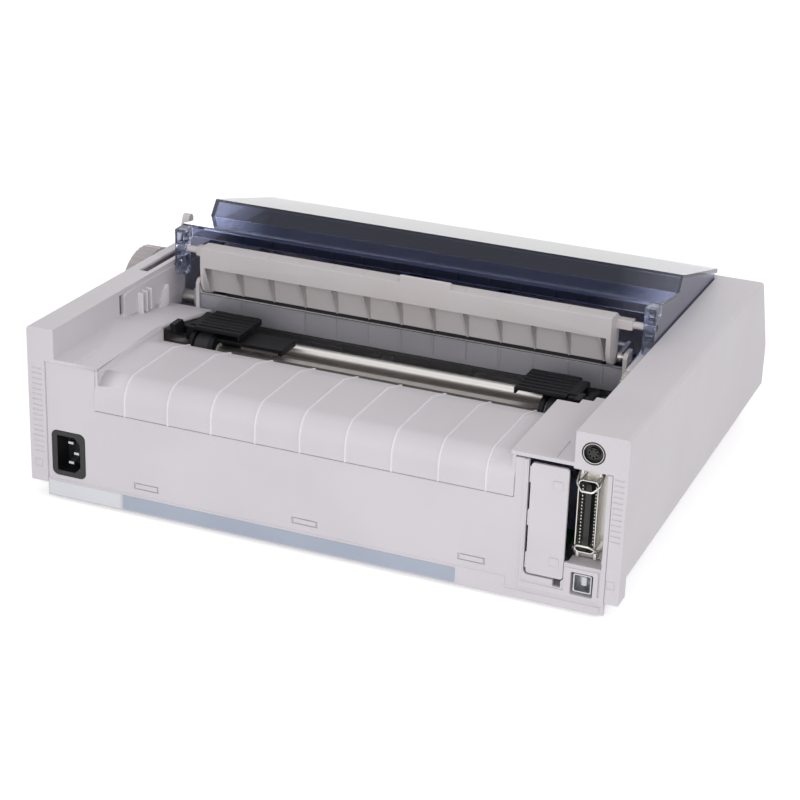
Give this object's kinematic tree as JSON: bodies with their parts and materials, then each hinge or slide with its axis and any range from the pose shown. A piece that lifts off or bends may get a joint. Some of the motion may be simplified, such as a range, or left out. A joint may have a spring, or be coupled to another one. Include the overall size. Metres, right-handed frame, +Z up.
{
  "type": "dot matrix printer",
  "caption": "Narrow-carriage dot matrix printer with a hinged smoke hood, swinging paper separator, sliding rear tractors, platen knob, gear train and rear sockets.",
  "frame": {"origin": "centre of the printer's footprint, knob included, on the surface it stands on", "axes": "+X across the machine towards the platen knob, +Y towards the rear sockets, +Z up"},
  "size_m": [0.415, 0.3451, 0.141],
  "materials": {
    "case_grey": "fine-textured off-white moulding",
    "panel_grey": "light grey moulding",
    "foot_rubber": "soft black",
    "zinc_steel": "zinc-plated sheet",
    "bright_steel": "ground steel rod",
    "film": "smoky guide film",
    "label": "blank label stock",
    "lens_green": "indicator lens",
    "black_plastic": "black moulding",
    "dark_plastic": "dark grey moulding",
    "board_green": "circuit board",
    "motor_metal": "motor can",
    "beige_plastic": "beige moulding",
    "knob_taupe": "taupe moulding",
    "smoke_hood": "smoke-tinted clear cover",
    "platen_rubber": "ground platen rubber",
    "gear_white": "natural acetal",
    "gear_brass": "pinion brass",
    "belt_black": "toothed belt rubber",
    "key_grey": "grey key"
  },
  "bodies": {
    "case": {"lower_case": "case_grey", "upper_case": "case_grey", "feet": "foot_rubber", "case_screws": "zinc_steel", "side_frames": "zinc_steel", "frame_tray": "zinc_steel", "hinge_brackets": "beige_plastic", "paper_pan": "dark_plastic", "guide_film": "film", "labels": "label", "control_panel": "panel_grey", "indicator_lenses": "lens_green", "mains_inlet": "black_plastic", "parallel_shell": "zinc_steel", "parallel_insert": "black_plastic", "usb_port": "zinc_steel", "round_socket": "black_plastic", "main_board": "board_green", "power_supply": "zinc_steel", "feed_motor": "motor_metal", "carriage_motor": "motor_metal", "carriage_shaft": "bright_steel", "tractor_rod": "bright_steel", "carriage_belt": "belt_black"},
    "hood": {"hood": "smoke_hood"},
    "separator": {"sheet_guide": "beige_plastic"},
    "platen_set": {"platen": "platen_rubber", "platen_shaft": "bright_steel", "platen_knob": "knob_taupe", "platen_gear": "gear_white"},
    "feed_idler": {"feed_idler": "gear_white"},
    "feed_pinion": {"feed_pinion": "gear_brass"},
    "tractor_idler": {"tractor_idler": "gear_white"},
    "tractor_shaft": {"tractor_shaft": "bright_steel"},
    "knob_tractor": {"knob_side_tractor": "dark_plastic", "knob_side_pin_belt": "belt_black"},
    "knob_pulley": {"knob_side_pulley": "gear_white"},
    "knob_flap": {"knob_side_flap": "dark_plastic"},
    "knob_lock": {"knob_side_lock": "dark_plastic"},
    "port_tractor": {"port_side_tractor": "dark_plastic", "port_side_pin_belt": "belt_black"},
    "port_pulley": {"port_side_pulley": "gear_white"},
    "port_flap": {"port_side_flap": "dark_plastic"},
    "port_lock": {"port_side_lock": "dark_plastic"},
    "carriage": {"carriage": "dark_plastic", "print_head": "motor_metal"},
    "cartridge": {"ribbon_cartridge": "black_plastic"},
    "drive_pulley": {"drive_pulley": "gear_brass"},
    "idler_pulley": {"idler_pulley": "gear_white"},
    "bail": {"paper_bail": "bright_steel"},
    "bail_rollers": {"bail_rollers": "platen_rubber"},
    "pressure_rollers": {"pressure_rollers": "platen_rubber"},
    "release_lever": {"release_lever": "beige_plastic"},
    "select_button": {"button_select": "key_grey"},
    "line_feed_button": {"button_line_feed": "key_grey"},
    "form_feed_button": {"button_form_feed": "key_grey"},
    "power_rocker": {"power_rocker": "black_plastic"},
    "upper_wire": {"upper_wire_bail": "zinc_steel"},
    "lower_wire": {"lower_wire_bail": "zinc_steel"},
    "option_cover": {"option_cover": "case_grey"}
  },
  "joints": [
    {"name": "hood_hinge", "type": "hinge", "parent": "case", "child": "hood", "pos_m": [-0.0016, 0.008, 0.109], "axis": [-1, 0, 0], "range_deg": [0, 65]},
    {"name": "separator_swing", "type": "hinge", "parent": "hood", "child": "separator", "pos_m": [-0.0016, 0.0075, 0.123], "axis": [1, 0, 0], "range_deg": [0, 60]},
    {"name": "platen_turn", "type": "hinge", "parent": "case", "child": "platen_set", "pos_m": [-0.0016, -0.006, 0.082], "axis": [1, 0, 0], "continuous": true},
    {"name": "feed_idler_turn", "type": "hinge", "parent": "case", "child": "feed_idler", "pos_m": [-0.1645, 0.01057, 0.05271], "axis": [1, 0, 0], "continuous": true},
    {"name": "feed_pinion_turn", "type": "hinge", "parent": "case", "child": "feed_pinion", "pos_m": [-0.1645, 0.02025, 0.03561], "axis": [1, 0, 0], "continuous": true},
    {"name": "tractor_idler_turn", "type": "hinge", "parent": "case", "child": "tractor_idler", "pos_m": [-0.1645, 0.03309, 0.07988], "axis": [1, 0, 0], "continuous": true},
    {"name": "tractor_shaft_turn", "type": "hinge", "parent": "case", "child": "tractor_shaft", "pos_m": [-0.0016, 0.06819, 0.07798], "axis": [1, 0, 0], "continuous": true},
    {"name": "knob_tractor_slide", "type": "slide", "parent": "case", "child": "knob_tractor", "axis": [-1, 0, 0], "range_m": [0, 0.06]},
    {"name": "knob_pulley_turn", "type": "hinge", "parent": "knob_tractor", "child": "knob_pulley", "pos_m": [0.1165, 0.06819, 0.07798], "axis": [1, 0, 0], "continuous": true},
    {"name": "knob_flap_hinge", "type": "hinge", "parent": "knob_tractor", "child": "knob_flap", "pos_m": [0.1279, 0.05629, 0.09218], "axis": [0, 1, 0], "range_deg": [0, 90]},
    {"name": "knob_lock_turn", "type": "hinge", "parent": "knob_tractor", "child": "knob_lock", "pos_m": [0.1341, 0.04429, 0.07798], "axis": [1, 0, 0], "range_deg": [0, 45]},
    {"name": "port_tractor_slide", "type": "slide", "parent": "case", "child": "port_tractor", "axis": [1, 0, 0], "range_m": [0, 0.04]},
    {"name": "port_pulley_turn", "type": "hinge", "parent": "port_tractor", "child": "port_pulley", "pos_m": [-0.1295, 0.06819, 0.07798], "axis": [1, 0, 0], "continuous": true},
    {"name": "port_flap_hinge", "type": "hinge", "parent": "port_tractor", "child": "port_flap", "pos_m": [-0.1409, 0.05629, 0.09218], "axis": [0, -1, 0], "range_deg": [0, 90]},
    {"name": "port_lock_turn", "type": "hinge", "parent": "port_tractor", "child": "port_lock", "pos_m": [-0.1471, 0.04429, 0.07798], "axis": [1, 0, 0], "range_deg": [0, 45]},
    {"name": "carriage_slide", "type": "slide", "parent": "case", "child": "carriage", "axis": [1, 0, 0], "range_m": [-0.1, 0.1]},
    {"name": "cartridge_lift", "type": "slide", "parent": "carriage", "child": "cartridge", "axis": [0, 0, 1], "range_m": [0, 0.02]},
    {"name": "drive_pulley_turn", "type": "hinge", "parent": "case", "child": "drive_pulley", "pos_m": [0.1335, -0.09, 0.046], "axis": [0, 1, 0], "range_deg": [-819, 819]},
    {"name": "idler_pulley_turn", "type": "hinge", "parent": "case", "child": "idler_pulley", "pos_m": [-0.1385, -0.09, 0.046], "axis": [0, 1, 0], "range_deg": [-819, 819]},
    {"name": "bail_hinge", "type": "hinge", "parent": "case", "child": "bail", "pos_m": [-0.0016, 0.006, 0.099], "axis": [-1, 0, 0], "range_deg": [0, 16]},
    {"name": "bail_roller_turn", "type": "hinge", "parent": "bail", "child": "bail_rollers", "pos_m": [-0.0016, -0.0124, 0.0999], "axis": [1, 0, 0], "continuous": true},
    {"name": "pressure_roller_turn", "type": "hinge", "parent": "case", "child": "pressure_rollers", "pos_m": [-0.0016, -0.0124, 0.06454], "axis": [1, 0, 0], "continuous": true},
    {"name": "release_lever_swing", "type": "hinge", "parent": "case", "child": "release_lever", "pos_m": [0.1785, 0.02, 0.052], "axis": [1, 0, 0], "range_deg": [-40, 0]},
    {"name": "select_press", "type": "slide", "parent": "case", "child": "select_button", "axis": [0, 0.8963, -0.4434], "range_m": [0, 0.0012], "stiffness_N_per_m": 400},
    {"name": "line_feed_press", "type": "slide", "parent": "case", "child": "line_feed_button", "axis": [0, 0.8963, -0.4434], "range_m": [0, 0.0012], "stiffness_N_per_m": 400},
    {"name": "form_feed_press", "type": "slide", "parent": "case", "child": "form_feed_button", "axis": [0, 0.8963, -0.4434], "range_m": [0, 0.0012], "stiffness_N_per_m": 400},
    {"name": "power_rocker_tilt", "type": "hinge", "parent": "case", "child": "power_rocker", "pos_m": [0.185, -0.12, 0.05], "axis": [0, 0, 1], "range_deg": [0, 16]},
    {"name": "upper_wire_swing", "type": "hinge", "parent": "case", "child": "upper_wire", "pos_m": [-0.1833, 0.1623, 0.09], "axis": [1, 0, 0], "range_deg": [-3, 50]},
    {"name": "lower_wire_swing", "type": "hinge", "parent": "case", "child": "lower_wire", "pos_m": [-0.1833, 0.1623, 0.036], "axis": [1, 0, 0], "range_deg": [-48, 0]},
    {"name": "option_cover_pull", "type": "slide", "parent": "case", "child": "option_cover", "axis": [0, 1, 0], "range_m": [0, 0.03]}
  ],
  "couplings": [
    {"joint": "feed_idler_turn", "follows": "platen_turn", "ratio": -1.4815},
    {"joint": "feed_pinion_turn", "follows": "platen_turn", "ratio": 3.3333},
    {"joint": "tractor_idler_turn", "follows": "platen_turn", "ratio": -1.0526},
    {"joint": "tractor_shaft_turn", "follows": "platen_turn", "ratio": 1.25},
    {"joint": "knob_pulley_turn", "follows": "platen_turn", "ratio": 1.25},
    {"joint": "port_pulley_turn", "follows": "platen_turn", "ratio": 1.25},
    {"joint": "pressure_roller_turn", "follows": "platen_turn", "ratio": -2.7},
    {"joint": "drive_pulley_turn", "follows": "carriage_slide", "rad_per_m": 142.86},
    {"joint": "idler_pulley_turn", "follows": "carriage_slide", "rad_per_m": 142.86}
  ]
}
